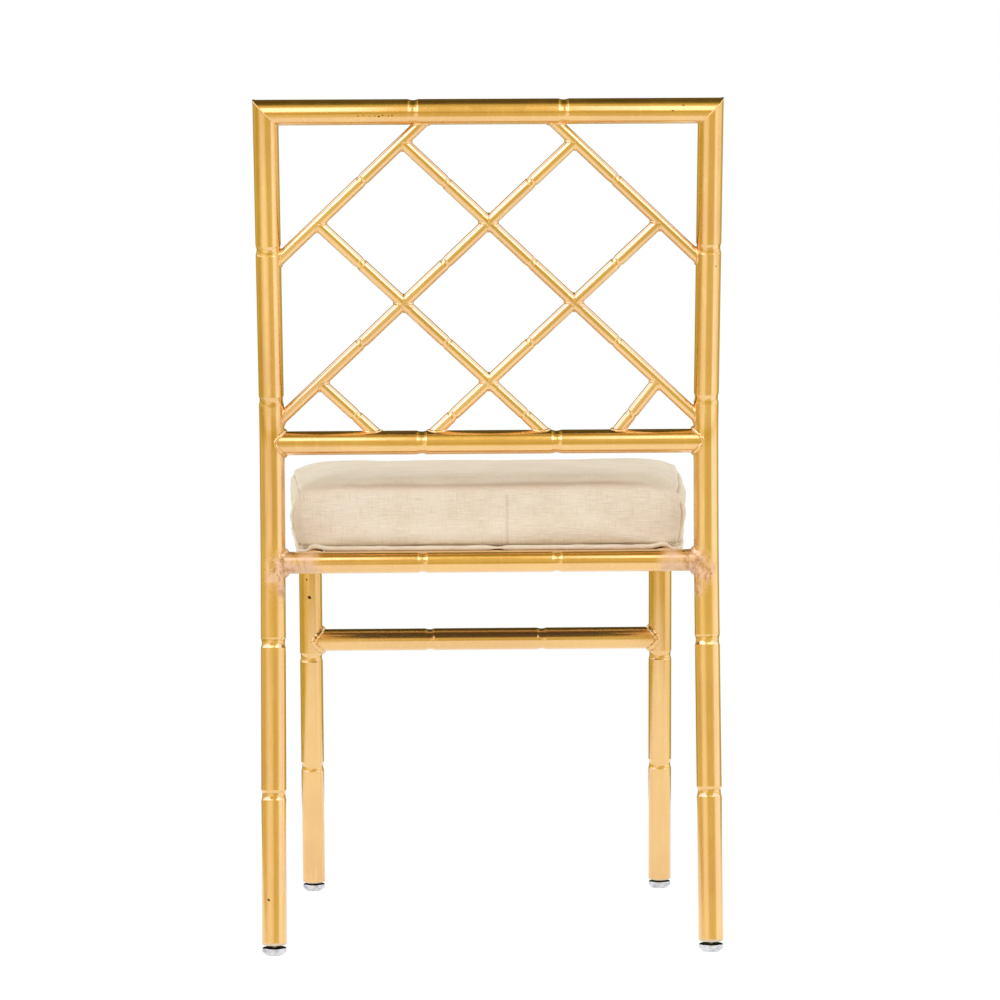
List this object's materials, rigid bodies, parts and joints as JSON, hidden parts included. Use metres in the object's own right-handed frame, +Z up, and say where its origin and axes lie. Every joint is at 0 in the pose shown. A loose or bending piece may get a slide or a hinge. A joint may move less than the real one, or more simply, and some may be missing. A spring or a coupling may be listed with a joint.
{
  "type": "steel banquet chair",
  "caption": "Gold steel tube banquet chair with a bamboo-ringed frame, diagonal lattice back, loose linen box cushion and tilting steel feet.",
  "frame": {"origin": "middle of the chair's box, on the floor that it stands on", "axes": "+Z up, -Y the way the sitter faces, +X the sitter's left"},
  "size_m": [0.46, 0.47, 0.845],
  "materials": {
    "gold_steel": "satin gold coat",
    "plated_steel": "nickel plated",
    "zinc_steel": "zinc plated",
    "nylon": "moulded natural",
    "plywood": "raw plywood",
    "linen": "beige slub linen",
    "foam": "cut foam",
    "hook_tape": "hook tape",
    "loop_tape": "loop tape"
  },
  "bodies": {
    "frame": {"rear_post_left": "gold_steel", "rear_post_right": "gold_steel", "top_rail": "gold_steel", "lower_back_rail": "gold_steel", "rear_seat_rail": "gold_steel", "side_seat_rail_left": "gold_steel", "side_seat_rail_right": "gold_steel", "front_seat_rail": "gold_steel", "front_leg_left": "gold_steel", "front_leg_right": "gold_steel", "leg_top_caps": "gold_steel", "front_stretcher": "gold_steel", "lattice_roof_left": "gold_steel", "lattice_roof_right": "gold_steel", "lattice_long_upper": "gold_steel", "lattice_long_lower": "gold_steel", "lattice_rise_low": "gold_steel", "lattice_rise_middle": "gold_steel", "lattice_rise_high": "gold_steel", "lattice_fall_low": "gold_steel", "lattice_fall_middle": "gold_steel", "lattice_fall_high": "gold_steel", "lattice_strut_left": "gold_steel", "lattice_strut_right": "gold_steel", "seat_tabs": "gold_steel", "seat_panel": "plywood", "panel_screws": "zinc_steel", "hook_strips": "hook_tape", "glide_plugs": "nylon", "glide_studs": "zinc_steel"},
    "cushion": {"cushion_cover": "linen", "cushion_foam": "foam", "loop_strips": "loop_tape"},
    "foot_rear_left": {"glide_base_rear_left": "plated_steel"},
    "foot_front_left": {"glide_base_front_left": "plated_steel"},
    "foot_rear_right": {"glide_base_rear_right": "plated_steel"},
    "foot_front_right": {"glide_base_front_right": "plated_steel"}
  },
  "joints": [
    {"name": "cushion_lift", "type": "slide", "parent": "frame", "child": "cushion", "axis": [0, 0, 1], "range_m": [0, 0.12]},
    {"name": "foot_rear_left_tilt", "type": "hinge", "parent": "frame", "child": "foot_rear_left", "pos_m": [0.2175, 0.19035, 0.0048], "axis": [1, 0, 0], "range_deg": [-7, 7]},
    {"name": "foot_front_left_tilt", "type": "hinge", "parent": "frame", "child": "foot_front_left", "pos_m": [0.1922, -0.22304, 0.0048], "axis": [1, 0, 0], "range_deg": [-7, 7]},
    {"name": "foot_rear_right_tilt", "type": "hinge", "parent": "frame", "child": "foot_rear_right", "pos_m": [-0.2175, 0.19035, 0.0048], "axis": [1, 0, 0], "range_deg": [-7, 7]},
    {"name": "foot_front_right_tilt", "type": "hinge", "parent": "frame", "child": "foot_front_right", "pos_m": [-0.1922, -0.22304, 0.0048], "axis": [1, 0, 0], "range_deg": [-7, 7]}
  ]
}
